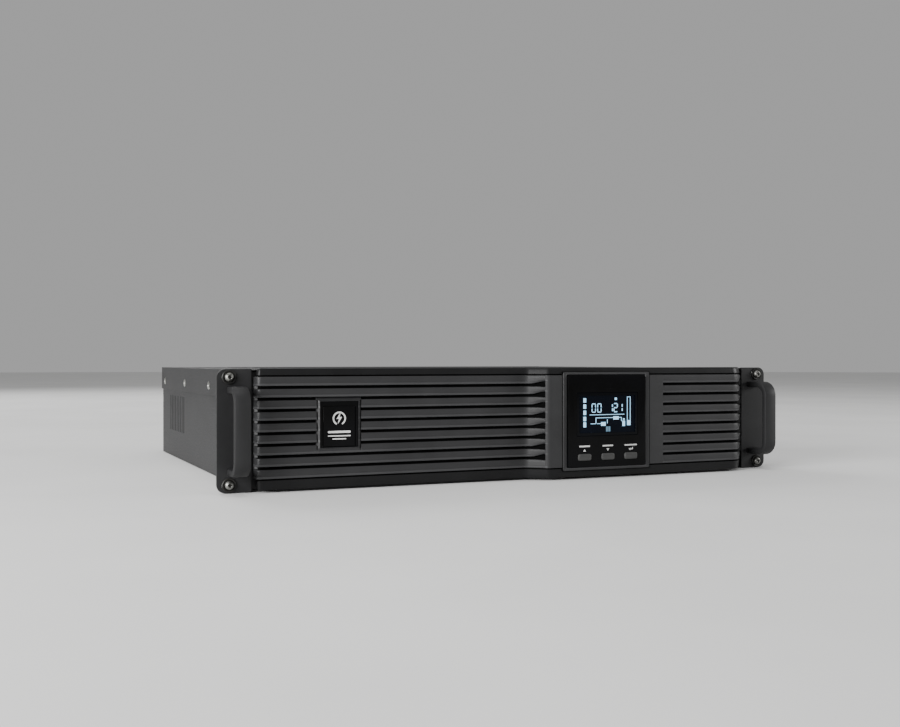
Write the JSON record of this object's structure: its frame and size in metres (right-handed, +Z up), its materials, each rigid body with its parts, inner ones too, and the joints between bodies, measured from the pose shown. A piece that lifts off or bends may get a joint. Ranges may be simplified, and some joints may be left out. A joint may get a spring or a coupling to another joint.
{
  "type": "rack uninterruptible power supply",
  "caption": "Two-unit rack uninterruptible power supply with ribbed bezel, square display module, pull handles, slide-out battery pack, rear fan and mains sockets.",
  "frame": {"origin": "middle of the width, in the plane of the rack ears' rear faces, on the case's underside", "axes": "+X to the right seen from the front, +Y from the front to the back, +Z up"},
  "size_m": [0.4826, 0.4144, 0.088],
  "materials": {
    "black_steel": "fine textured black powder coat",
    "galvanised": "zinc plated sheet",
    "black_plastic": "lightly textured charcoal moulding",
    "display_plastic": "gloss black moulding",
    "badge": "gloss black insert",
    "window": "smoked clear window",
    "lcd": "backlit liquid crystal panel",
    "key_grey": "grey key",
    "fastener": "zinc plated screw",
    "board": "green circuit board",
    "battery_case": "dark grey battery case",
    "laminations": "varnished steel laminations",
    "winding": "varnished winding",
    "sink": "extruded aluminium",
    "capacitor": "shrink sleeve",
    "relay": "blue relay case",
    "strap": "woven strap",
    "lead": "black lead",
    "connector": "red power connector",
    "terminal": "green terminal",
    "fan_plastic": "black fan moulding"
  },
  "bodies": {
    "chassis": {"base_pan": "black_steel", "top_cover": "black_steel", "front_plate": "galvanised", "bay_divider": "galvanised", "rear_panel": "black_steel", "ear_left": "black_steel", "ear_right": "black_steel", "handle_left": "black_plastic", "handle_right": "black_plastic", "rack_screw_left_top": "fastener", "rack_screw_left_bottom": "fastener", "rack_screw_right_top": "fastener", "rack_screw_right_bottom": "fastener", "battery_socket": "connector", "transformer_core": "laminations", "transformer_winding": "winding", "main_board": "board", "heat_sink_1": "sink", "heat_sink_2": "sink", "capacitor_1": "capacitor", "capacitor_2": "capacitor", "capacitor_3": "capacitor", "capacitor_4": "capacitor", "relay_1": "relay", "relay_2": "relay", "relay_3": "relay", "fan_housing": "fan_plastic", "fan_guard": "fastener", "outlet_bank_upper": "black_plastic", "outlet_bank_lower": "black_plastic", "ac_inlet": "black_plastic", "breaker_body": "black_plastic", "network_ports": "galvanised", "serial_port": "galvanised", "usb_port": "galvanised", "shutdown_terminal": "terminal", "option_slot_cover": "black_steel", "ground_screw": "fastener"},
    "battery_pack": {"battery_tray": "galvanised", "battery_1": "battery_case", "battery_2": "battery_case", "battery_3": "battery_case", "battery_4": "battery_case", "pull_strap": "strap", "battery_lead": "lead", "battery_plug": "connector"},
    "front_bezel": {"bezel": "black_plastic", "badge_plate": "badge"},
    "display": {"display_housing": "display_plastic", "display_window": "window", "lcd_panel": "lcd", "display_board": "board"},
    "key_up": {"button_up": "key_grey"},
    "key_down": {"button_down": "key_grey"},
    "key_enter": {"button_enter": "key_grey"},
    "fan": {"fan_rotor": "fan_plastic"},
    "breaker_reset": {"breaker_button": "black_plastic"}
  },
  "joints": [
    {"name": "battery_slide", "type": "slide", "parent": "chassis", "child": "battery_pack", "axis": [0, -1, 0], "range_m": [0, 0.28]},
    {"name": "bezel_pull", "type": "slide", "parent": "chassis", "child": "front_bezel", "axis": [0, -1, 0], "range_m": [0, 0.35]},
    {"name": "display_pull", "type": "slide", "parent": "front_bezel", "child": "display", "axis": [0, -1, 0], "range_m": [0, 0.016]},
    {"name": "key_up_press", "type": "slide", "parent": "display", "child": "key_up", "axis": [0, 1, 0], "range_m": [0, 0.0007], "stiffness_N_per_m": 600, "springref_m": -0.0003},
    {"name": "key_down_press", "type": "slide", "parent": "display", "child": "key_down", "axis": [0, 1, 0], "range_m": [0, 0.0007], "stiffness_N_per_m": 600, "springref_m": -0.0003},
    {"name": "key_enter_press", "type": "slide", "parent": "display", "child": "key_enter", "axis": [0, 1, 0], "range_m": [0, 0.0007], "stiffness_N_per_m": 600, "springref_m": -0.0003},
    {"name": "fan_spin", "type": "hinge", "parent": "chassis", "child": "fan", "pos_m": [0.165, 0.3532, 0.0435], "axis": [0, 1, 0], "continuous": true},
    {"name": "breaker_reset_travel", "type": "slide", "parent": "chassis", "child": "breaker_reset", "axis": [0, 1, 0], "range_m": [0, 0.003]}
  ],
  "couplings": [
    {"joint": "bezel_pull", "follows": "battery_slide", "ratio": 1.25}
  ]
}
